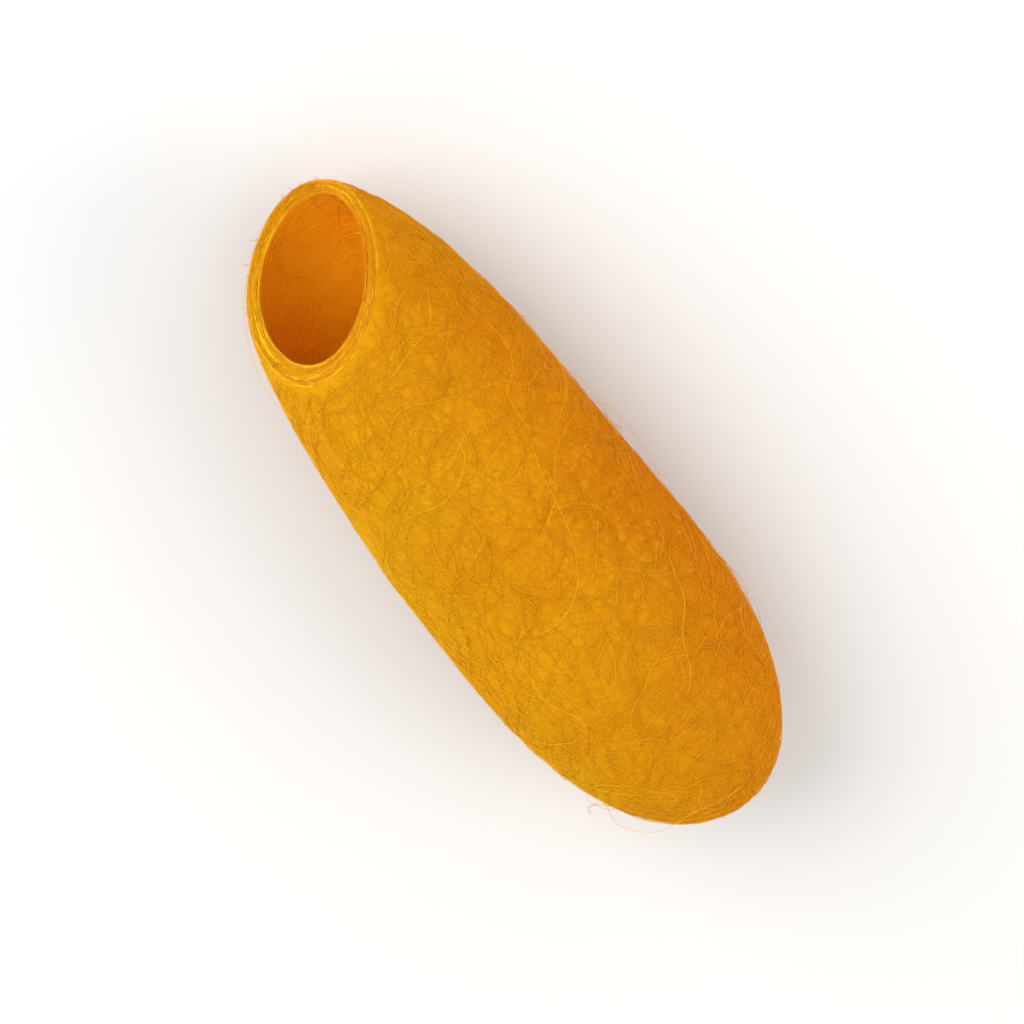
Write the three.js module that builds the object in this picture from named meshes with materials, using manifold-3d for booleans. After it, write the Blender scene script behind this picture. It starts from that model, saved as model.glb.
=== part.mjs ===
// A cut silk cocoon: one hollow spindle of spun silk, round and closed at one end, with the other end
// sliced off on a slant. It lies on its side, on a small flat spot.
// Millimetres, +Z up, +X from the closed end towards the mouth.
import * as THREE from "three";
import { mergeVertices } from "three/addons/utils/BufferGeometryUtils.js";
import Module from "manifold-3d";

// Driving dimensions. Stations are measured along the axis from the closed tip.
const RADIUS = 6; // at the widest station
const WALL = 0.6; // silk wall, the same all over
const CLOSED_HALF = 11.5; // from the closed tip to the widest station
const OPEN_HALF = 25; // from the widest station to the tip that was cut off
const CLOSED_POWER = 2.3; // 2 is an ellipse, and more is blunter
const OPEN_POWER = 3.2;
const MOUTH_STATION = 33.6; // where the slanting cut crosses the axis

// The cut's outward normal: the mouth looks along the body, and also to the left and up.
const CUT_NORMAL = new THREE.Vector3(1, 0.5, 0.7).normalize();

// How the silk departs from an even body of revolution.
const SIDE_STRETCH = 1.015; // a little wider than it is tall
const HEIGHT_STRETCH = 0.985;
const ENDS_RISE = 0.35; // how far the axis has climbed one RISE_SPAN away from its lowest station
const RISE_SPAN = 16;
const LOWEST_STATION = 15;
const BEND = 0.25; // sideways bow of the axis, at the middle
const DENT_SHARE = 0.012; // slow swells and dents, as a share of the radius
const FLAT_DEPTH = 0.3; // how far the underside is pressed flat

// Facets.
const AROUND = 56;
const CLOSED_STEPS = 16;
const OPEN_STEPS = 20;
const BLANK_LENGTH = 36; // the blank body stops here, past the cut but short of the tip cut off
const BODY_OVERRUN = 0.2; // a short straight stub closes the blank's end
const HOLLOW_OVERRUN = 1; // the hollow's stub is longer, so that it comes out of the blank
const SLOPE_STEP = 0.01; // for measuring the outline's slope
const MERGE_DISTANCE = 0.001;

const silk = new THREE.MeshStandardMaterial({
  name: "silk",
  color: new THREE.Color().setRGB(0.88, 0.59, 0.05, THREE.SRGBColorSpace),
  roughness: 0.65,
  metalness: 0,
});

// Two half spindles meet at the widest station, a short blunt one and a long slender one.
const radiusAt = (station) => {
  const away = station - CLOSED_HALF;
  const share = away < 0 ? -away / CLOSED_HALF : away / OPEN_HALF;
  const power = away < 0 ? CLOSED_POWER : OPEN_POWER;
  return RADIUS * Math.sqrt(Math.max(0, 1 - share ** power));
};

// Stations crowd towards the closed tip, where the outline turns fastest.
const listStations = () => {
  const stations = [];
  for (let i = 1; i <= CLOSED_STEPS; i += 1) {
    stations.push(CLOSED_HALF * (1 - Math.cos(((i / CLOSED_STEPS) * Math.PI) / 2)));
  }
  for (let i = 1; i <= OPEN_STEPS; i += 1) {
    stations.push(CLOSED_HALF + ((BLANK_LENGTH - CLOSED_HALF) * i) / OPEN_STEPS);
  }
  return stations;
};

// The outline from the closed tip to the blank's end, set inwards by `inset` along its own normal, run
// on past the end by `overrun` and closed onto the axis.
const outline = (inset, overrun) => {
  const points = listStations().map((station) => {
    const rise = radiusAt(station + SLOPE_STEP) - radiusAt(station - SLOPE_STEP);
    const slope = rise / (2 * SLOPE_STEP);
    const length = Math.hypot(1, slope);
    return new THREE.Vector2(radiusAt(station) - inset / length, station + (inset * slope) / length);
  });
  const last = points[points.length - 1];
  const end = last.y + overrun;
  return [new THREE.Vector2(0, inset), ...points, new THREE.Vector2(last.x, end), new THREE.Vector2(0, end)];
};

// The even body of revolution becomes the real one: oval, softly dented, bent and pressed flat below.
const settle = (geometry, inset) => {
  const floor = FLAT_DEPTH + inset - RADIUS * HEIGHT_STRETCH;
  const position = geometry.attributes.position;
  for (let i = 0; i < position.count; i += 1) {
    const x = position.getX(i);
    const around = Math.atan2(position.getZ(i), position.getY(i));
    const along = (2 * Math.PI * x) / BLANK_LENGTH;
    const swell = Math.sin(2 * around + 1.1 * along) + 0.6 * Math.sin(3 * around - 1.7 * along + 1);
    const size = 1 + DENT_SHARE * swell;
    const climb = ENDS_RISE * ((x - LOWEST_STATION) / RISE_SPAN) ** 2;
    const bow = BEND * Math.sin(along / 2);
    const y = position.getY(i) * SIDE_STRETCH * size + bow;
    const z = position.getZ(i) * HEIGHT_STRETCH * size + climb;
    position.setXYZ(i, x, y, Math.max(z, floor));
  }
  return geometry;
};

// A lathe turns about Y, so the body is then laid over to run along +X.
const turnBody = (inset, overrun) => {
  const geometry = new THREE.LatheGeometry(outline(inset, overrun), AROUND);
  geometry.rotateZ(-Math.PI / 2);
  return settle(geometry, inset);
};

// A block that fills everything beyond the slanting cut.
const cutBlock = () => {
  const side = 2 * BLANK_LENGTH;
  const block = new THREE.BoxGeometry(side, side, side);
  block.translate(side / 2, 0, 0);
  block.applyQuaternion(new THREE.Quaternion().setFromUnitVectors(new THREE.Vector3(1, 0, 0), CUT_NORMAL));
  block.translate(MOUTH_STATION, 0, 0);
  return block;
};

const wasm = await Module();
wasm.setup();

const toSolid = (geometry) => {
  geometry.deleteAttribute("normal");
  geometry.deleteAttribute("uv");
  const merged = mergeVertices(geometry, MERGE_DISTANCE);
  const mesh = new wasm.Mesh({
    numProp: 3,
    vertProperties: new Float32Array(merged.attributes.position.array),
    triVerts: new Uint32Array(merged.index.array),
  });
  return new wasm.Manifold(mesh);
};

const toGeometry = (solid) => {
  const { vertProperties, triVerts } = solid.getMesh();
  const geometry = new THREE.BufferGeometry();
  geometry.setAttribute("position", new THREE.BufferAttribute(vertProperties, 3));
  geometry.setIndex(new THREE.BufferAttribute(triVerts, 1));
  geometry.computeVertexNormals();
  return geometry;
};

const makeCocoon = () => {
  const body = toSolid(turnBody(0, BODY_OVERRUN));
  const hollow = toSolid(turnBody(WALL, HOLLOW_OVERRUN));
  const beyondCut = toSolid(cutBlock());
  const shell = body.subtract(hollow).subtract(beyondCut);
  const cocoon = new THREE.Mesh(toGeometry(shell), silk);
  cocoon.name = "cocoon";
  return cocoon;
};

const cocoon = makeCocoon();

// The origin is under the middle of the cocoon, on the surface that it lies on.
const box = new THREE.Box3().setFromObject(cocoon);
const middle = box.getCenter(new THREE.Vector3());
cocoon.position.set(-middle.x, -middle.y, -box.min.z);

const part = new THREE.Group();
part.add(cocoon);

export default part;
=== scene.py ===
"""Looks of a cut silk cocoon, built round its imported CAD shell.

One fine mesh stands for the shell: the outer skin, the cut rim and the hollow, on the same formula as
the CAD. The felt on it is made of real fibres, which walk over the skin in the figures of eight that a
silkworm spins. Lengths are millimetres until a mesh is made, and Blender's are metres.
"""

import math

import bpy
import numpy as np
from mathutils import Matrix, Vector, noise
from mathutils.bvhtree import BVHTree


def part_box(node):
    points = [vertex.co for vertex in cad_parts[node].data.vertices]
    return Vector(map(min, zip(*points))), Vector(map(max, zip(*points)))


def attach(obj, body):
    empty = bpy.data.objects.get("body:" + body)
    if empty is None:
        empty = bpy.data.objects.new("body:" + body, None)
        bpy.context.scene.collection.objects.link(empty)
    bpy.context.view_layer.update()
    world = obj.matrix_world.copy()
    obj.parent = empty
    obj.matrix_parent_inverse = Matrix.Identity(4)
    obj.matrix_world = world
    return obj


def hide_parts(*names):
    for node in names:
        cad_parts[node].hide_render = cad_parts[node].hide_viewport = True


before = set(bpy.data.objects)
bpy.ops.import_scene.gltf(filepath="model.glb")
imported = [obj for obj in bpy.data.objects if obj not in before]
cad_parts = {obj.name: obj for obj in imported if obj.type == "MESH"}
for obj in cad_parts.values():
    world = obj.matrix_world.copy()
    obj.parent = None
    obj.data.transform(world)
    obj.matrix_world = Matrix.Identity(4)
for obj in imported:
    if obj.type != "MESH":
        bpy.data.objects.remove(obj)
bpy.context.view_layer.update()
MM = 0.001
TURN = 2 * math.pi
TINY = 1e-12
SHELL = "cocoon"
SEED = 7

# The shell's shape, as in the CAD. Stations are measured along the axis from the closed tip.
RADIUS = 6.0
WALL = 0.6
CLOSED_HALF = 11.5
OPEN_HALF = 25.0
CLOSED_POWER = 2.3
OPEN_POWER = 3.2
MOUTH_STATION = 33.6
CUT_NORMAL = Vector((1.0, 0.5, 0.7)).normalized()
SIDE_STRETCH = 1.015
HEIGHT_STRETCH = 0.985
ENDS_RISE = 0.35
RISE_SPAN = 16.0
LOWEST_STATION = 15.0
BEND = 0.25
DENT_SHARE = 0.012
FLAT_DEPTH = 0.3
BLANK_LENGTH = 36.0

# The fine mesh.
AROUND = 232
OUTER_ROWS = (84, 132)  # rows from the tip to the widest station, and from there to the rim
INNER_ROWS = (56, 96)
RIM_ROWS = 9
SLOPE_STEP = 1e-4  # for measuring the outline's slope
TIP_STATION = 1e-6  # where the closed tip's point is taken
TIP_MARGIN = 0.05  # the search for the cut stops this far short of the tip that was cut off
HALVINGS = 40

# The relief. Each kind of feature has a size over the silk and a height.
NOISE_SHIFT = (17.3, 5.1, 29.7)  # from the noise of one seed to that of the next
DENT_SIZE, DENT_HEIGHT = 6.0, 0.13
PEBBLE_SIZE, PEBBLE_HEIGHT = 0.95, 0.013
CREASE_SIZE, CREASE_DEPTH = 1.9, 0.018
CREASE_SHARPNESS = 6
GRAIN_SIZE, GRAIN_HEIGHT = 0.42, 0.008
PRESSED_HEIGHT = 0.7  # over the floor, below which the skin is pressed and its relief fades
SWELL_SIZE, SWELL_HEIGHT = 5.0, 0.08  # of the lining
WRINKLE_SIZE, WRINKLE_HEIGHT = 1.1, 0.03
RIM_SWELL = 0.11
RIPPLE_SIZE, RIPPLE_HEIGHT = 1.3, 0.04
GROOVE_HEIGHT = 0.05  # of the rim's layers
GROOVE_STRETCH = 4  # times as long as they would be in plain noise
GROOVE_DRIFT = 9.0  # through that noise, across the wall

# Fibres. A swing of 2.4 radians closes a path into a figure of eight.
STEP = 0.42  # between the points of a fibre
OFF_SURFACE = 0.35  # steps. A path that gets this far off has met the surface's edge
SHORTEST_PIECE = 5  # points
TUBE_SIDES = 3
TAPER_POINTS = 2
TIP_SHARE = 0.35  # of the radius, at a fibre's ends

# The felt's layers from the skin outwards, and the threads in the hollow. The lift is how high a fibre
# lies, sunk in the silk below 0, and loose is how far it leaves the silk between touches.
FELT = {
    "felt_inner": dict(count=1170, length=16, thickness=(0.030, 0.042), lift=(-0.008, 0.004), loose=0.01),
    "felt_middle": dict(count=1150, length=16, thickness=(0.026, 0.036), lift=(-0.004, 0.012), loose=0.03),
    "felt_outer": dict(count=950, length=16, thickness=(0.022, 0.030), lift=(0.004, 0.025), loose=0.10),
    "lining_threads": dict(count=900, length=14, thickness=(0.024, 0.034), lift=(-0.010, 0.004), loose=0.008),
}
FELT_REACH = (0.6, 1.0)  # share of the length
FELT_SWING = (1.2, 2.4)
FELT_WAVE = (12, 26)
FELT_ARCHES = (1, 4)  # between touches, from 1 to 3

# Loose floss, in arches off the skin.
FLOSS_COUNT = 120
FLOSS_LENGTH = (4, 12)
FLOSS_SWING = (0.4, 1.4)
FLOSS_WAVE = (9, 20)
FLOSS_THICKNESS = (0.020, 0.028)
FLOSS_FEWEST = 9  # points
FLOSS_LIFT = 0.02
FLOSS_LOW, FLOSS_HIGH = 0.08, 0.75  # the least height of an arch, and what chance adds at most
FLOSS_FULLNESS = (0.7, 1.6)  # a lower power gives a fuller arch
FLOSS_DRIFT = 0.25  # sideways
FLOSS_DRIFT_WAVES = (1, 3)

# Threads that run along the cut, and the stubs that the blade left standing on it.
RUN_COUNT = 330
RUN_POINTS = (8, 48)
RUN_ROWS = (0.5, RIM_ROWS + 0.5)
RUN_WANDER = 0.15  # rows a point
RUN_THICKNESS = (0.018, 0.03)
RUN_LIFT, RUN_ARCH = 0.012, 0.10
STUB_COUNT = 360
STUB_POINTS = 7
STUB_LEAN, STUB_CURL = 0.55, 0.9
STUB_BEND = 0.35
STUB_ROOT = 0.02  # below the rim
STUB_SHORT, STUB_LONG = 0.1, 0.4
STUB_THICKNESS = (0.018, 0.026)
STUB_SIDE = (0.3, 0.5, 0.81)  # any direction, for turning the tube's sides

# Radians a millimetre by which each helix of the painted fibres winds. Each wanders by noise of its own,
# with so many features a millimetre, and as far as that share of a feature.
TWISTS = {"helix_a": 0.10, "helix_b": -0.13, "helix_c": 0.42, "helix_d": -0.36}
WANDER_SCALE, WANDER_SCALE_STEP = 0.45, 0.1
WANDER_REACH = 0.55

# Slow changes of colour over the silk that stand for light and shade: a direction in the model, the reach
# along it where the change begins and ends, and the tints there. The skin's tint is painted shade: it is more
# orange low down, on its -Y side away from the key and at the closed end. The lining's tint is painted light:
# it is paler deep inside.
WHITE = (1.0, 1.0, 1.0)
SKIN_PAINTED_SHADE = ((0.12, 0.9, 0.45), -2.7, 8.5, (1.0, 0.7, 0.6), WHITE)
LINING_PAINTED_LIGHT = ((1.0, 0.0, 0.0), -3.0, 9.0, WHITE, (1.0, 0.61, 0.4))

# The darkest and the lightest colour of each kind of thread, before its tints. Painted shade: the felt's
# layers are darker the deeper they lie, for the shade between the fibres.
THREADS = {
    "silk_deep_thread": ((0.69, 0.35, 0.002), (0.73, 0.405, 0.003)),
    "silk_thread": ((0.72, 0.365, 0.002), (0.765, 0.425, 0.003)),
    "silk_outer_thread": ((0.77, 0.385, 0.002), (0.83, 0.46, 0.004)),
    "silk_floss": ((0.80, 0.49, 0.01), (0.86, 0.56, 0.02)),
    "silk_rim_thread": ((0.75, 0.378, 0.003), (0.81, 0.45, 0.006)),
    "silk_lining_thread": ((0.98, 0.58, 0.010), (0.99, 0.69, 0.016)),
}

# How far light travels in the silk, by colour, as a share of the shader's scale.
SCATTER = (1.0, 0.6, 0.1)
LINING_SCATTER = (1.0, 0.8, 0.3)

# The tilt of the body's open end towards the camera, and its slope in the picture.
TILT = math.radians(18)
SLOPE = math.radians(52)
LENS = 340.0
SENSOR = 36.0
VIEW_WIDTH = 46.0  # of the scene across the picture, at the cocoon

# The studio, in metres and watts.
LAMP_DISTANCE = 0.5
DAYLIGHT = 0.84
FLOOR_HALF = 1.2
FLOOR_NEAR, FLOOR_FAR = 0.04, 0.44  # from the middle, where the card begins and ends turning paler


# ---------------------------------------------------------------------------------------------- shape
def unit(vectors):
    return vectors / np.maximum(np.linalg.norm(vectors, axis=-1, keepdims=True), TINY)


def radius_at(station):
    away = station - CLOSED_HALF
    share = np.where(away < 0, -away / CLOSED_HALF, away / OPEN_HALF)
    power = np.where(away < 0, CLOSED_POWER, OPEN_POWER)
    return RADIUS * np.sqrt(np.maximum(0, 1 - share**power))


def slope_at(station):
    return (radius_at(station + SLOPE_STEP) - radius_at(station - SLOPE_STEP)) / (2 * SLOPE_STEP)


def wall_points(station, around, inset):
    """Points of the wall, set inwards by inset, before the model is moved to its origin."""
    slope = slope_at(station)
    length = np.hypot(1, slope)
    x = station + inset * slope / length
    reach = np.maximum(radius_at(station) - inset / length, 0)
    along = TURN * x / BLANK_LENGTH
    swell = np.sin(2 * around + 1.1 * along) + 0.6 * np.sin(3 * around - 1.7 * along + 1)
    size = 1 + DENT_SHARE * swell
    climb = ENDS_RISE * ((x - LOWEST_STATION) / RISE_SPAN) ** 2
    bow = BEND * np.sin(along / 2)
    y = reach * np.cos(around) * SIDE_STRETCH * size + bow
    z = reach * np.sin(around) * HEIGHT_STRETCH * size + climb
    floor = FLAT_DEPTH + inset - RADIUS * HEIGHT_STRETCH
    return np.stack([x, y, np.maximum(z, floor)], -1)


def cut_stations(around, inset):
    """The station at which each meridian meets the slanting cut."""
    low = np.full(around.shape, CLOSED_HALF)
    high = np.full(around.shape, CLOSED_HALF + OPEN_HALF - TIP_MARGIN)
    crossing = np.array([MOUTH_STATION, 0, 0])
    for _ in range(HALVINGS):
        middle = (low + high) / 2
        beyond = (wall_points(middle, around, inset) - crossing) @ np.array(CUT_NORMAL) > 0
        high = np.where(beyond, middle, high)
        low = np.where(beyond, low, middle)
    return middle


def surface_grid(rows, inset, end=None):
    """Rows of points from near the closed tip to the cut, or to one station past it, each once around."""
    around = np.arange(AROUND) / AROUND * TURN
    cut = cut_stations(around, inset) if end is None else np.full(AROUND, end)
    closed_rows, open_rows = rows
    turn = (np.arange(closed_rows) + 1) / closed_rows * math.pi / 2
    closed = np.repeat(CLOSED_HALF * (1 - np.cos(turn))[:, None], AROUND, 1)
    share = (np.arange(open_rows) + 1) / open_rows
    opened = CLOSED_HALF + share[:, None] * (cut - CLOSED_HALF)[None, :]
    station = np.concatenate([closed, opened])
    return wall_points(station, np.repeat(around[None, :], len(station), 0), inset)


def grid_normals(grid, outwards):
    """Unit normals of a grid that closes on itself around."""
    along = np.gradient(grid, axis=0)
    across = np.roll(grid, -1, 1) - np.roll(grid, 1, 1)
    return unit(np.cross(across, along)) * outwards


def noise_field(points, size, seed):
    """Smooth noise from about -1 to 1, with features of that size."""
    shift = Vector([way * seed for way in NOISE_SHIFT])
    flat = points.reshape(-1, 3) / size
    values = [noise.noise(Vector(p) + shift) for p in flat.tolist()]
    return np.array(values).reshape(points.shape[:-1])


def smooth_step(low, high, x):
    t = np.clip((x - low) / (high - low), 0, 1)
    return t * t * (3 - 2 * t)


def skin_relief(points, floor):
    """How far the outer skin stands out, from slow dents down to the grain of the felt."""
    dents = noise_field(points, DENT_SIZE, 1)
    pebbles = noise_field(points, PEBBLE_SIZE, 2)
    creases = 1 - np.abs(noise_field(points, CREASE_SIZE, 3))
    relief = DENT_HEIGHT * dents + PEBBLE_HEIGHT * pebbles - CREASE_DEPTH * creases**CREASE_SHARPNESS
    relief += GRAIN_HEIGHT * noise_field(points, GRAIN_SIZE, 4)
    return relief * smooth_step(0.0, PRESSED_HEIGHT, points[..., 2] - floor)


def lining_relief(points):
    swells = noise_field(points, SWELL_SIZE, 6)
    wrinkles = noise_field(points, WRINKLE_SIZE, 7)
    return SWELL_HEIGHT * swells + WRINKLE_HEIGHT * wrinkles


def rim_grid(outer_edge, inner_edge):
    """The cut face: a soft, slightly swollen edge with the grooves of its layers."""
    rows = []
    ripple = noise_field(outer_edge, RIPPLE_SIZE, 8)
    for i in range(1, RIM_ROWS + 1):
        share = i / (RIM_ROWS + 1)
        arch = math.sin(math.pi * share)
        point = outer_edge * (1 - share) + inner_edge * share
        grooves = noise_field(point / GROOVE_STRETCH + share * GROOVE_DRIFT, 1.0, 9)
        lift = RIM_SWELL * arch + GROOVE_HEIGHT * grooves + RIPPLE_HEIGHT * ripple * arch
        rows.append(point + np.array(CUT_NORMAL) * lift[:, None])
    return np.array(rows)


def twisted(points, turn):
    """The points, turned about the body's axis in proportion to x. What runs straight along x in this space
    winds round the body in a helix, so noise that is stretched along x becomes fibres."""
    x, y, z = points.T
    z = z - RADIUS * HEIGHT_STRETCH
    angle = turn * x
    turned_y = y * np.cos(angle) - z * np.sin(angle)
    turned_z = y * np.sin(angle) + z * np.cos(angle)
    return np.stack([x, turned_y, turned_z], -1)


def mesh_object(name, vertices, faces, face_materials, materials, attributes):
    """A smooth mesh piece from millimetre vertices. Faces is a list of index arrays, one array a kind."""
    mesh = bpy.data.meshes.new(name)
    loops = np.concatenate([f.ravel() for f in faces])
    sizes = np.concatenate([np.full(len(f), f.shape[1]) for f in faces])
    mesh.vertices.add(len(vertices))
    mesh.vertices.foreach_set("co", (vertices * MM).astype(np.float32).ravel())
    mesh.loops.add(len(loops))
    mesh.loops.foreach_set("vertex_index", loops.astype(np.int32))
    mesh.polygons.add(len(sizes))
    starts = np.concatenate([[0], np.cumsum(sizes)[:-1]])
    mesh.polygons.foreach_set("loop_start", starts.astype(np.int32))
    mesh.polygons.foreach_set("material_index", face_materials.astype(np.int32))
    mesh.polygons.foreach_set("use_smooth", np.ones(len(sizes), bool))
    for key, values in attributes.items():
        kind, field = ("FLOAT", "value") if values.ndim == 1 else ("FLOAT_VECTOR", "vector")
        layer = mesh.attributes.new(key, kind, "POINT")
        layer.data.foreach_set(field, values.astype(np.float32).ravel())
    mesh.update(calc_edges=True)
    mesh.validate()
    for material in materials:
        mesh.materials.append(material)
    piece = bpy.data.objects.new(name, mesh)
    bpy.context.scene.collection.objects.link(piece)
    return piece


def quads_between(first, second):
    """Quads from one ring of vertex indices to the next."""
    return np.stack([first, np.roll(first, -1), np.roll(second, -1), second], -1)


def ring_quads(start, rows):
    """The rings of vertex indices of a grid that starts at one index, and the quads between them."""
    rings = start + np.arange(rows * AROUND).reshape(rows, AROUND)
    return rings, np.concatenate([quads_between(rings[i], rings[i + 1]) for i in range(rows - 1)])


class Shell:
    """The shell's grids, moved so that they lie on the CAD shell's box."""

    def __init__(self):
        plain = surface_grid(OUTER_ROWS, 0.0)
        low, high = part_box(SHELL)
        middle = (plain.min((0, 1)) + plain.max((0, 1))) / 2
        place = np.array((low + high) / 2) / MM
        self.shift = np.array([place[0] - middle[0], place[1] - middle[1], low.z / MM - plain[..., 2].min()])
        self.floor = low.z / MM
        self.crossing = np.array([MOUTH_STATION, 0, 0]) + self.shift
        self.outer, self.relief = self.skin(plain)
        self.inner = self.lining(surface_grid(INNER_ROWS, WALL))
        # The fibres walk over surfaces that run on past the cut, and are cut after that.
        self.uncut_outer = self.skin(surface_grid(OUTER_ROWS, 0.0, BLANK_LENGTH))[0]
        self.uncut_inner = self.lining(surface_grid(INNER_ROWS, WALL, BLANK_LENGTH))
        self.rim = rim_grid(self.outer[-1], self.inner[-1])
        self.outer_tip = wall_points(np.array([TIP_STATION]), np.array([0.0]), 0.0)[0] + self.shift
        self.inner_tip = self.outer[0].mean(0)
        self.inner_tip[0] = WALL + self.shift[0]

    def skin(self, plain):
        points = plain + self.shift
        relief = skin_relief(points, self.floor)
        points = points + grid_normals(points, 1) * relief[..., None]
        points[..., 2] = np.maximum(points[..., 2], self.floor)
        return points, relief

    def lining(self, plain):
        points = plain + self.shift
        return points + grid_normals(points, -1) * lining_relief(points)[..., None]

    def inside_cut(self, points):
        """Whether each point is on the kept side of the slanting cut."""
        return (points - self.crossing) @ np.array(CUT_NORMAL) < 0

    def build(self, materials):
        """One closed mesh: skin, rim and lining, joined by rings of quads and closed by a fan at each tip."""
        parts = [self.outer.reshape(-1, 3), self.rim.reshape(-1, 3), self.inner.reshape(-1, 3)]
        rows = [len(self.outer), len(self.rim), len(self.inner)]
        outer_rings, outer_faces = ring_quads(0, rows[0])
        rim_rings, rim_faces = ring_quads(rows[0] * AROUND, rows[1])
        inner_rings, inner_faces = ring_quads((rows[0] + rows[1]) * AROUND, rows[2])
        tips = sum(rows) * AROUND
        vertices = np.concatenate([*parts, [self.outer_tip, self.inner_tip]])
        first, last = outer_rings[0], inner_rings[0]
        outer_fan = np.stack([np.full(AROUND, tips), np.roll(first, -1), first], -1)
        inner_fan = np.stack([np.full(AROUND, tips + 1), last, np.roll(last, -1)], -1)
        skin, rim, lining = range(len(materials))
        patches = [
            (outer_faces, skin),
            (quads_between(outer_rings[-1], rim_rings[0]), rim),
            (rim_faces, rim),
            (quads_between(rim_rings[-1], inner_rings[-1]), rim),
            (inner_faces[:, ::-1], lining),
            (outer_fan, skin),
            (inner_fan, lining),
        ]
        faces = [patch for patch, _ in patches]
        face_materials = np.concatenate([np.full(len(patch), kind) for patch, kind in patches])
        relief = np.zeros(len(vertices))
        relief[: self.relief.size] = self.relief.ravel()
        attributes = {"relief": relief}
        for name, turn in TWISTS.items():
            attributes[name] = twisted(vertices, turn)
        return mesh_object(SHELL + "_shell", vertices, faces, face_materials, materials, attributes)


# --------------------------------------------------------------------------------------------- fibres
class Walker:
    """Walks over a grid's surface and gives points and normals on the way."""

    def __init__(self, grid, outwards, rng, kept):
        vertices = grid.reshape(-1, 3)
        quads = ring_quads(0, len(grid))[1][:, ::outwards]
        corners = vertices[quads]
        diagonals = corners[:, 2] - corners[:, 0], corners[:, 3] - corners[:, 1]
        area = np.linalg.norm(np.cross(*diagonals), axis=1)
        self.share = area / area.sum()
        self.centre = corners.mean(1)
        self.tree = BVHTree.FromPolygons(vertices.tolist(), quads.tolist())
        self.rng = rng
        self.kept = kept

    def pieces(self, path, normals):
        """The runs of a path on the kept side of the cut, as the blade leaves them."""
        inside = self.kept(path)
        edges = np.flatnonzero(np.diff(np.concatenate([[False], inside, [False]]).astype(int)))
        for first, last in zip(edges[::2], edges[1::2]):
            if last - first >= SHORTEST_PIECE:
                yield path[first:last], normals[first:last]

    def starts(self, count):
        """Places spread evenly over the surface by chance."""
        return self.centre[self.rng.choice(len(self.centre), count, p=self.share)]

    def walk(self, start, length, swing, wave):
        """A path whose heading swings like a sine, by swing radians, once a wave."""
        point, normal, _, _ = self.tree.find_nearest(Vector(start))
        angle, phase = self.rng.uniform(0, TURN, 2)
        side = normal.orthogonal().normalized()
        heading = side * math.cos(angle) + normal.cross(side) * math.sin(angle)
        path, normals = [point], [normal]
        before = swing * math.sin(phase)
        for i in range(1, int(length / STEP)):
            now = swing * math.sin(phase + TURN * i * STEP / wave)
            turn = now - before
            before = now
            heading = heading * math.cos(turn) + normal.cross(heading) * math.sin(turn)
            found, facing, _, away = self.tree.find_nearest(point + heading * STEP)
            if away > OFF_SURFACE * STEP:
                break
            normal = (normal * 0.5 + facing * 0.5).normalized()
            heading = (heading - normal * heading.dot(normal)).normalized()
            point = found
            path.append(point)
            normals.append(normal)
        return np.array(path), np.array(normals)


class Bundle:
    """Fibres that become one piece: closed tubes, each with its radius and its tone from 0 to 1."""

    def __init__(self):
        self.fibres = []

    def add(self, path, normals, radius, tone):
        self.fibres.append((path, normals, radius, tone))

    def build(self, name, material, floor):
        corner = np.arange(TUBE_SIDES) / TUBE_SIDES * TURN
        vertices, quads, caps, tones = [], [], [], []
        base = 0
        for path, normals, radius, tone in self.fibres:
            count = len(path)
            along = unit(np.gradient(path, axis=0))
            side = unit(np.cross(along, normals))
            up = np.cross(side, along)
            from_end = np.minimum(np.arange(count), np.arange(count)[::-1])
            reach = radius * np.minimum(1, from_end / TAPER_POINTS + TIP_SHARE)
            ring = np.cos(corner)[None, :, None] * up[:, None] + np.sin(corner)[None, :, None] * side[:, None]
            vertices.append((path[:, None] + ring * reach[:, None, None]).reshape(-1, 3))
            index = base + np.arange(count * TUBE_SIDES).reshape(count, TUBE_SIDES)
            following = np.roll(index, -1, 1)
            quads.append(np.stack([index[:-1], following[:-1], following[1:], index[1:]], -1).reshape(-1, 4))
            caps.append([index[0][::-1], index[-1]])
            tones.append(np.full(count * TUBE_SIDES, tone))
            base += count * TUBE_SIDES
        vertices = np.concatenate(vertices)
        vertices[:, 2] = np.maximum(vertices[:, 2], floor)
        faces = [np.concatenate(quads), np.concatenate(caps)]
        face_materials = np.zeros(sum(len(f) for f in faces))
        attributes = {"tone": np.concatenate(tones)}
        return mesh_object(name, vertices, faces, face_materials, [material], attributes)


def felt_fibres(walker, count, length, thickness, lift, loose):
    """Fibres that lie on the skin or the lining, as FELT lists them."""
    rng = walker.rng
    bundle = Bundle()
    for start in walker.starts(count):
        reach = rng.uniform(*FELT_REACH) * length
        whole, facing = walker.walk(start, reach, rng.uniform(*FELT_SWING), rng.uniform(*FELT_WAVE))
        share = np.linspace(0, 1, len(whole))
        waves = np.abs(np.sin(math.pi * (share * rng.integers(*FELT_ARCHES) + rng.uniform())))
        height = rng.uniform(*lift) + loose * rng.random() ** 2 * waves
        radius = rng.uniform(*thickness) / 2
        tone = rng.random()
        for path, normals in walker.pieces(whole + facing * height[:, None], facing):
            bundle.add(path, normals, radius, tone)
    return bundle


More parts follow.
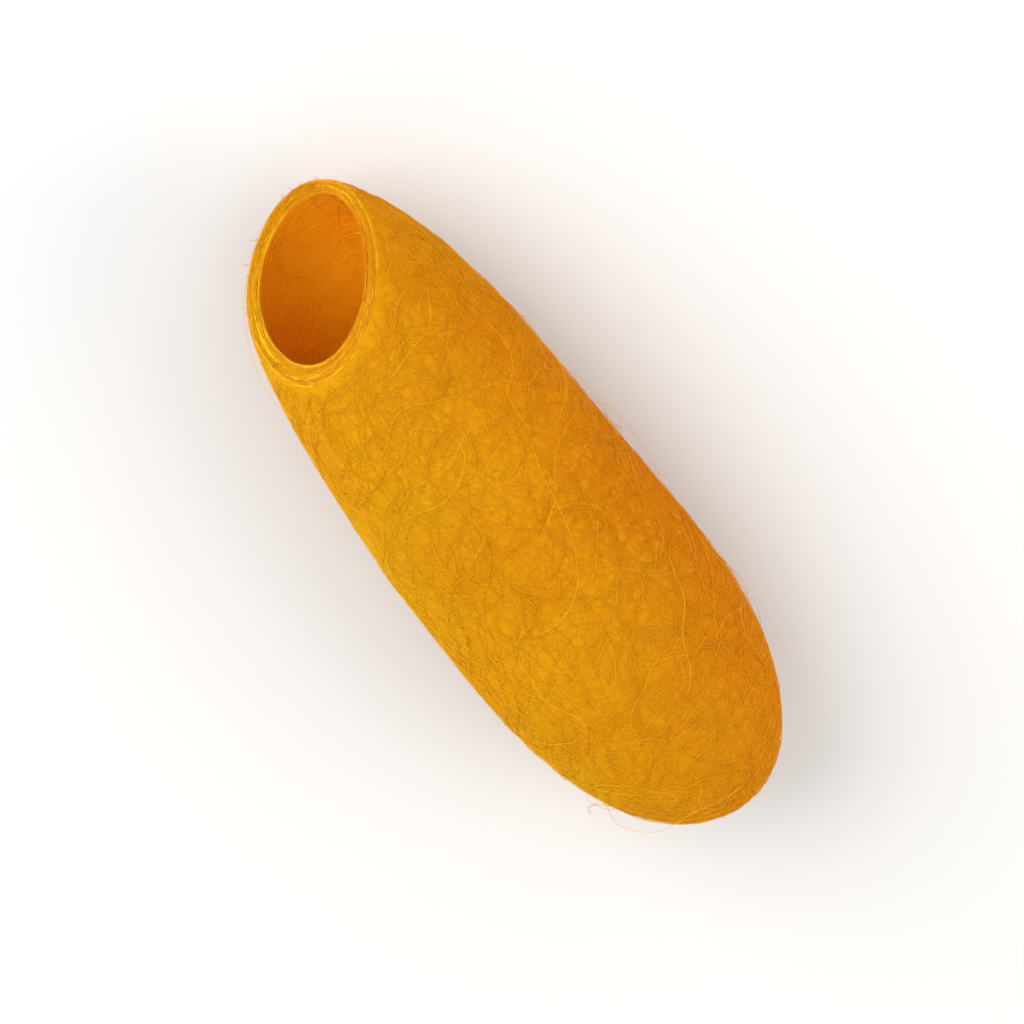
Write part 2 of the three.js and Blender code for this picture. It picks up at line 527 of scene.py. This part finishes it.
def floss_fibres(walker, count):
    """Loose floss that arches off the skin and comes back to it."""
    rng = walker.rng
    bundle = Bundle()
    for start in walker.starts(count):
        length = rng.uniform(*FLOSS_LENGTH)
        path, normals = walker.walk(start, length, rng.uniform(*FLOSS_SWING), rng.uniform(*FLOSS_WAVE))
        if len(path) < FLOSS_FEWEST or not walker.kept(path).all():
            continue
        share = np.linspace(0, 1, len(path))
        arch = np.sin(math.pi * share) ** rng.uniform(*FLOSS_FULLNESS)
        height = FLOSS_LIFT + (FLOSS_LOW + FLOSS_HIGH * rng.random() ** 4) * arch
        sway = unit(np.cross(normals, np.gradient(path, axis=0)))
        drift = FLOSS_DRIFT * np.sin(TURN * (share * rng.uniform(*FLOSS_DRIFT_WAVES) + rng.random())) * arch
        path = path + normals * height[:, None] + sway * drift[:, None]
        bundle.add(path, normals, rng.uniform(*FLOSS_THICKNESS) / 2, rng.random())
    return bundle


def add_rim_run(bundle, rings, rng):
    """A thread that runs along the cut and drifts a little across it."""
    forward = np.array(CUT_NORMAL)
    start = rng.integers(AROUND)
    count = int(rng.integers(*RUN_POINTS))
    row = rng.uniform(*RUN_ROWS) + np.cumsum(rng.normal(0, RUN_WANDER, count))
    row = np.clip(row, 0, RIM_ROWS + 1)
    column = (start + np.arange(count)) % AROUND
    low = np.floor(row).astype(int).clip(0, RIM_ROWS)
    part = (row - low)[:, None]
    path = rings[low, column] * (1 - part) + rings[low + 1, column] * part
    share = np.linspace(0, 1, count)
    height = RUN_LIFT + RUN_ARCH * rng.random() ** 2 * np.sin(math.pi * share) ** 2
    normals = np.repeat(forward[None], count, 0)
    bundle.add(path + forward * height[:, None], normals, rng.uniform(*RUN_THICKNESS) / 2, rng.random())


def add_rim_stub(bundle, rings, rng):
    """The short curled end of a thread that the blade cut."""
    forward = np.array(CUT_NORMAL)
    column = rng.integers(AROUND)
    row = rng.integers(0, RIM_ROWS - 1)
    heading = unit(forward + rng.normal(0, STUB_LEAN, 3))
    curl = rng.normal(0, STUB_CURL, 3)
    steps = np.linspace(0, 1, STUB_POINTS)[:, None]
    reach = STUB_SHORT + STUB_LONG * rng.random() ** 3
    path = rings[row, column] - forward * STUB_ROOT + reach * (steps * heading + STUB_BEND * steps**2 * curl)
    normals = np.repeat(np.cross(heading, STUB_SIDE)[None], STUB_POINTS, 0)
    bundle.add(path, normals, rng.uniform(*STUB_THICKNESS) / 2, rng.random())


def rim_fibres(shell, rng):
    """The threads and the stubs of the cut edge."""
    rings = np.concatenate([shell.outer[-1:], shell.rim, shell.inner[-1:]])
    bundle = Bundle()
    for _ in range(RUN_COUNT):
        add_rim_run(bundle, rings, rng)
    for _ in range(STUB_COUNT):
        add_rim_stub(bundle, rings, rng)
    return bundle


# ------------------------------------------------------------------------------------------ materials
class Nodes:
    """Small helper that adds and links shader nodes of one material."""

    def __init__(self, name):
        self.material = bpy.data.materials.new(name)
        self.material.use_nodes = True
        self.tree = self.material.node_tree
        self.shader = self.tree.nodes["Principled BSDF"]

    def add(self, kind, **values):
        node = self.tree.nodes.new(kind)
        for key, value in values.items():
            setattr(node, key, value)
        return node

    def link(self, source, target):
        self.tree.links.new(source, target)

    def set(self, **values):
        """Constant values of the shader's sockets, with _ for a space."""
        for key, value in values.items():
            self.shader.inputs[key.replace("_", " ")].default_value = value

    def feed(self, **sources):
        """Links to the shader's sockets, with _ for a space."""
        for key, source in sources.items():
            self.link(source, self.shader.inputs[key.replace("_", " ")])

    def place(self):
        return self.add("ShaderNodeTexCoord").outputs["Object"]

    def attribute(self, name, output="Fac"):
        return self.add("ShaderNodeAttribute", attribute_name=name).outputs[output]

    def noise_at(self, place, scale, detail, roughness=0.5):
        """Noise at a place. The outputs are Fac, from 0 to 1 about 0.5, and Color."""
        texture = self.add("ShaderNodeTexNoise")
        texture.inputs["Scale"].default_value = scale
        texture.inputs["Detail"].default_value = detail
        texture.inputs["Roughness"].default_value = roughness
        self.link(place, texture.inputs["Vector"])
        return texture.outputs

    def noise(self, scale, detail=3.0, roughness=0.5):
        """Noise in the model's own place. The scale counts features in a metre."""
        return self.noise_at(self.place(), scale, detail, roughness)["Fac"]

    def share_along(self, direction, begin, end):
        """0 to 1 between two reaches along a direction."""
        reach = self.add("ShaderNodeVectorMath", operation="DOT_PRODUCT")
        reach.inputs[1].default_value = direction
        self.link(self.place(), reach.inputs[0])
        return self.spread(reach.outputs["Value"], begin * MM, end * MM, 0, 1)

    def tint(self, direction, begin, end, first, last):
        """A tint that goes from first to last between two reaches along a direction."""
        return self.ramp(self.share_along(direction, begin, end), [(0.0, first), (1.0, last)])

    def ramp(self, source, stops):
        ramp = self.add("ShaderNodeValToRGB")
        elements = ramp.color_ramp.elements
        while len(elements) < len(stops):
            elements.new(0.5)
        for element, (position, colour) in zip(elements, stops):
            element.position = position
            element.color = (*colour, 1)
        self.link(source, ramp.inputs["Fac"])
        return ramp.outputs["Color"]

    def spread(self, source, low, high, new_low, new_high):
        """A value that goes from new_low to new_high while the source goes from low to high."""
        mapped = self.add("ShaderNodeMapRange")
        for key, value in zip(("From Min", "From Max", "To Min", "To Max"), (low, high, new_low, new_high)):
            mapped.inputs[key].default_value = value
        self.link(source, mapped.inputs["Value"])
        return mapped.outputs["Result"]

    def uneven(self, scale, low, high):
        """A value that varies from low to high over the model, such as a roughness."""
        return self.spread(self.noise(scale), 0.3, 0.7, low, high)

    def multiply(self, first, *others):
        for other in others:
            mix = self.add("ShaderNodeMix", data_type="RGBA", blend_type="MULTIPLY")
            mix.inputs["Factor"].default_value = 1
            self.link(first, mix.inputs["A"])
            self.link(other, mix.inputs["B"])
            first = mix.outputs["Result"]
        return first

    def wander(self, place, scale, reach):
        """The place, shifted by slow noise, so that what is painted there wanders."""
        middle = self.add("ShaderNodeVectorMath", operation="SUBTRACT")
        middle.inputs[1].default_value = (0.5, 0.5, 0.5)
        self.link(self.noise_at(place, scale, 1.0)["Color"], middle.inputs[0])
        shift = self.add("ShaderNodeVectorMath", operation="SCALE")
        shift.inputs["Scale"].default_value = reach / scale
        self.link(middle.outputs["Vector"], shift.inputs[0])
        total = self.add("ShaderNodeVectorMath", operation="ADD")
        self.link(place, total.inputs[0])
        self.link(shift.outputs["Vector"], total.inputs[1])
        return total.outputs["Vector"]

    def largest(self, first, second):
        node = self.add("ShaderNodeMath", operation="MAXIMUM")
        self.link(first, node.inputs[0])
        self.link(second, node.inputs[1])
        return node.outputs["Value"]

    def bump(self, source, distance, strength, under=None):
        """A bumped normal, on top of another one if that is given."""
        bump = self.add("ShaderNodeBump")
        bump.inputs["Distance"].default_value = distance
        bump.inputs["Strength"].default_value = strength
        self.link(source, bump.inputs["Height"])
        if under is not None:
            self.link(under, bump.inputs["Normal"])
        return bump.outputs["Normal"]


def painted_fibres(m, along, across):
    """A field of fine crossing fibres, from the helices that the mesh carries, with so many features a
    millimetre along a fibre and across it. It is high where any of them has a fibre."""
    total = None
    for index, name in enumerate(TWISTS):
        scale = WANDER_SCALE + WANDER_SCALE_STEP * index
        bent = m.wander(m.attribute(name, "Vector"), scale, WANDER_REACH)
        stretched = m.add("ShaderNodeVectorMath", operation="MULTIPLY")
        stretched.inputs[1].default_value = (along, across, across)
        m.link(bent, stretched.inputs[0])
        fibres = m.noise_at(stretched.outputs["Vector"], 1.0, 2.0, 0.6)["Fac"]
        total = fibres if total is None else m.largest(total, fibres)
    return total


def skin_material():
    m = Nodes("silk_skin")
    slow = m.ramp(m.noise(170, 3.0, 0.55), [(0.34, (0.62, 0.285, 0.002)), (0.66, (0.655, 0.345, 0.003))])
    # Painted shade: the skin is darker and more orange where its relief sinks into creases and pits.
    depth = m.spread(m.attribute("relief"), -0.12, 0.10, 0, 1)
    crease_shade = m.ramp(depth, [(0.0, (0.97, 0.90, 0.8)), (0.45, (1, 0.98, 0.97)), (1.0, WHITE)])
    fibres = painted_fibres(m, 0.9, 14.0)
    grain = m.ramp(fibres, [(0.45, (0.95, 0.88, 0.7)), (0.6, (0.98, 0.96, 0.9)), (0.75, WHITE)])
    pores = m.bump(m.noise(2400, 4.0), 0.05 * MM, 0.25)
    # Painted shade: the skin's tint makes it more orange low down, on its -Y side and at the closed end.
    m.feed(Base_Color=m.multiply(slow, crease_shade, grain, m.tint(*SKIN_PAINTED_SHADE)))
    m.feed(Roughness=m.uneven(1500, 0.62, 0.8), Normal=m.bump(fibres, 0.05 * MM, 0.5, pores))
    m.set(Sheen_Weight=0.08, Sheen_Roughness=0.5, Sheen_Tint=(1, 0.6, 0.1, 1), Specular_IOR_Level=0.04)
    m.set(Subsurface_Weight=0.35, Subsurface_Radius=SCATTER, Subsurface_Scale=0.6 * MM)
    return m.material


def rim_material():
    m = Nodes("silk_rim")
    layers = m.ramp(m.noise(3200, 3.0, 0.6), [(0.3, (0.77, 0.37, 0.006)), (0.7, (0.83, 0.46, 0.013))])
    grain = m.bump(m.noise(5200), 0.04 * MM, 0.6)
    m.feed(Base_Color=layers, Roughness=m.uneven(2000, 0.6, 0.78), Normal=grain)
    m.set(Sheen_Weight=0.06, Sheen_Roughness=0.5, Sheen_Tint=(1, 0.7, 0.2, 1), Specular_IOR_Level=0.05)
    m.set(Subsurface_Weight=0.35, Subsurface_Radius=SCATTER, Subsurface_Scale=0.4 * MM)
    return m.material


def lining_material():
    m = Nodes("silk_lining")
    base = m.ramp(m.noise(240), [(0.3, (0.98, 0.56, 0.010)), (0.7, (0.99, 0.66, 0.016))])
    fibres = painted_fibres(m, 0.7, 9.0)
    grain = m.ramp(fibres, [(0.45, (0.95, 0.88, 0.75)), (0.7, WHITE)])
    # Painted light: the lining is tinted paler deep inside, for the daylight that comes through the thin
    # wall.
    m.feed(Base_Color=m.multiply(base, grain, m.tint(*LINING_PAINTED_LIGHT)))
    m.feed(Roughness=m.uneven(1200, 0.5, 0.66), Normal=m.bump(fibres, 0.05 * MM, 0.5))
    m.set(Sheen_Weight=0.05, Sheen_Roughness=0.4, Sheen_Tint=(1, 0.7, 0.3, 1), Specular_IOR_Level=0.12)
    m.set(Subsurface_Radius=LINING_SCATTER, Subsurface_Scale=1.6 * MM)
    # Daylight comes through the wall into the deep end. Near the mouth it comes in at the mouth.
    nearness = m.share_along(*LINING_PAINTED_LIGHT[:3])
    m.feed(Subsurface_Weight=m.spread(nearness, 0, 1, 1.0, 0.15))
    return m.material


def thread_material(name, tint=SKIN_PAINTED_SHADE):
    """Silk threads, each with a tone of its own between dark and light."""
    m = Nodes(name)
    dark, light = THREADS[name]
    own = m.ramp(m.attribute("tone"), [(0.0, dark), (1.0, light)])
    slow = m.ramp(m.noise(130, 2.0), [(0.36, (0.99, 0.88, 0.8)), (0.6, WHITE)])
    along = m.ramp(m.noise(900, 2.0), [(0.3, (0.96, 0.93, 0.86)), (0.7, WHITE)])
    # The tint is painted shade on the felt threads (more orange low down, on the -Y side and at the closed
    # end), and painted light on the lining threads (paler deep inside).
    m.feed(Base_Color=m.multiply(own, slow, along, m.tint(*tint)), Roughness=m.uneven(1800, 0.45, 0.62))
    m.set(Sheen_Weight=0.05, Sheen_Roughness=0.4, Sheen_Tint=(1, 0.7, 0.25, 1), Specular_IOR_Level=0.08)
    return m.material


def floor_material():
    """Pale card, paler far away, where the lamps reach it less, so that it looks even."""
    m = Nodes("floor")
    away = m.add("ShaderNodeVectorMath", operation="LENGTH")
    m.link(m.place(), away.inputs[0])
    share = m.spread(away.outputs["Value"], FLOOR_NEAR, FLOOR_FAR, 0, 1)
    card = m.ramp(share, [(0.0, (0.725, 0.73, 0.735)), (0.4, (0.83, 0.83, 0.83)), (1.0, (0.96, 0.96, 0.96))])
    fleck = m.ramp(m.noise(14, 2.0), [(0.3, (0.985, 0.985, 0.985)), (0.7, WHITE)])
    m.feed(Base_Color=m.multiply(card, fleck))
    m.set(Roughness=0.85, Specular_IOR_Level=0.15)
    return m.material


# ---------------------------------------------------------------------------------------------- stage
def camera_axes():
    """The picture's right and up, and the way back to the camera."""
    back = Vector((math.sin(TILT), 0, math.cos(TILT)))
    body = Vector((math.cos(TILT), 0, -math.sin(TILT)))
    side = Vector((0, -1, 0))
    right = body * -math.cos(SLOPE) + side * math.sin(SLOPE)
    up = body * math.sin(SLOPE) + side * math.cos(SLOPE)
    return right, up, back


def make_camera(target):
    right, up, back = camera_axes()
    data = bpy.data.cameras.new("camera")
    data.lens = LENS
    data.sensor_width = SENSOR
    data.clip_start = 0.01
    data.clip_end = 10
    camera = bpy.data.objects.new("camera", data)
    bpy.context.scene.collection.objects.link(camera)
    distance = VIEW_WIDTH * MM * LENS / SENSOR
    turn = Matrix((right, up, back)).transposed()
    camera.matrix_world = Matrix.Translation(target + back * distance) @ turn.to_4x4()
    bpy.context.scene.camera = camera


def make_light(name, target, direction, size, power, colour):
    data = bpy.data.lights.new(name, "AREA")
    data.shape = "DISK"
    data.size = size
    data.energy = power
    data.color = colour
    light = bpy.data.objects.new(name, data)
    bpy.context.scene.collection.objects.link(light)
    light.location = target + direction.normalized() * LAMP_DISTANCE
    light.rotation_mode = "QUATERNION"
    light.rotation_quaternion = direction.to_track_quat("Z", "Y")


def make_floor():
    mesh = bpy.data.meshes.new("floor")
    corners = [(x * FLOOR_HALF, y * FLOOR_HALF, 0) for x, y in ((-1, -1), (1, -1), (1, 1), (-1, 1))]
    mesh.from_pydata(corners, [], [(0, 1, 2, 3)])
    mesh.materials.append(floor_material())
    floor = bpy.data.objects.new("floor", mesh)
    bpy.context.scene.collection.objects.link(floor)


def make_world():
    world = bpy.data.worlds.new("studio")
    world.use_nodes = True
    background = world.node_tree.nodes["Background"]
    background.inputs["Color"].default_value = (1, 1, 1, 1)
    background.inputs["Strength"].default_value = DAYLIGHT
    bpy.context.scene.world = world
    bpy.context.scene.view_settings.view_transform = "Standard"


def make_stage():
    """The key shines almost straight into the mouth, and the fill comes from the picture's right."""
    low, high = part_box(SHELL)
    target = (low + high) / 2
    right, up, back = camera_axes()
    key = up * 0.25 - right * 0.9 + back * 1.3
    fill = right * 1.0 - up * 0.3 + back * 0.3
    make_camera(target)
    make_light("key", target, key, size=0.45, power=2.1, colour=(1, 0.99, 0.97))
    make_light("fill", target, fill, size=0.4, power=1.0, colour=(1, 0.88, 0.72))
    make_floor()
    make_world()


# ---------------------------------------------------------------------------------------------- build
def build():
    """Every piece, in an order that the random draws depend on."""
    rng = np.random.default_rng(SEED)
    shell = Shell()
    body = shell.build([skin_material(), rim_material(), lining_material()])
    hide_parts(SHELL)
    outside = Walker(shell.uncut_outer, 1, rng, shell.inside_cut)
    inside = Walker(shell.uncut_inner, -1, rng, shell.inside_cut)
    deep = thread_material("silk_deep_thread")
    middle = thread_material("silk_thread")
    outer = thread_material("silk_outer_thread")
    pale = thread_material("silk_floss")
    edge = thread_material("silk_rim_thread")
    # The lining threads carry the lining's painted light: paler deep inside.
    bright = thread_material("silk_lining_thread", LINING_PAINTED_LIGHT)
    felt = [
        ("felt_inner", outside, deep),
        ("felt_middle", outside, middle),
        ("felt_outer", outside, outer),
        ("lining_threads", inside, bright),
    ]
    pieces = [body]
    for name, walker, material in felt:
        pieces.append(felt_fibres(walker, **FELT[name]).build(name, material, shell.floor))
    pieces.append(floss_fibres(outside, FLOSS_COUNT).build("floss", pale, shell.floor))
    pieces.append(rim_fibres(shell, rng).build("rim_threads", edge, shell.floor))
    for piece in pieces:
        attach(piece, "root")


make_stage()
build()
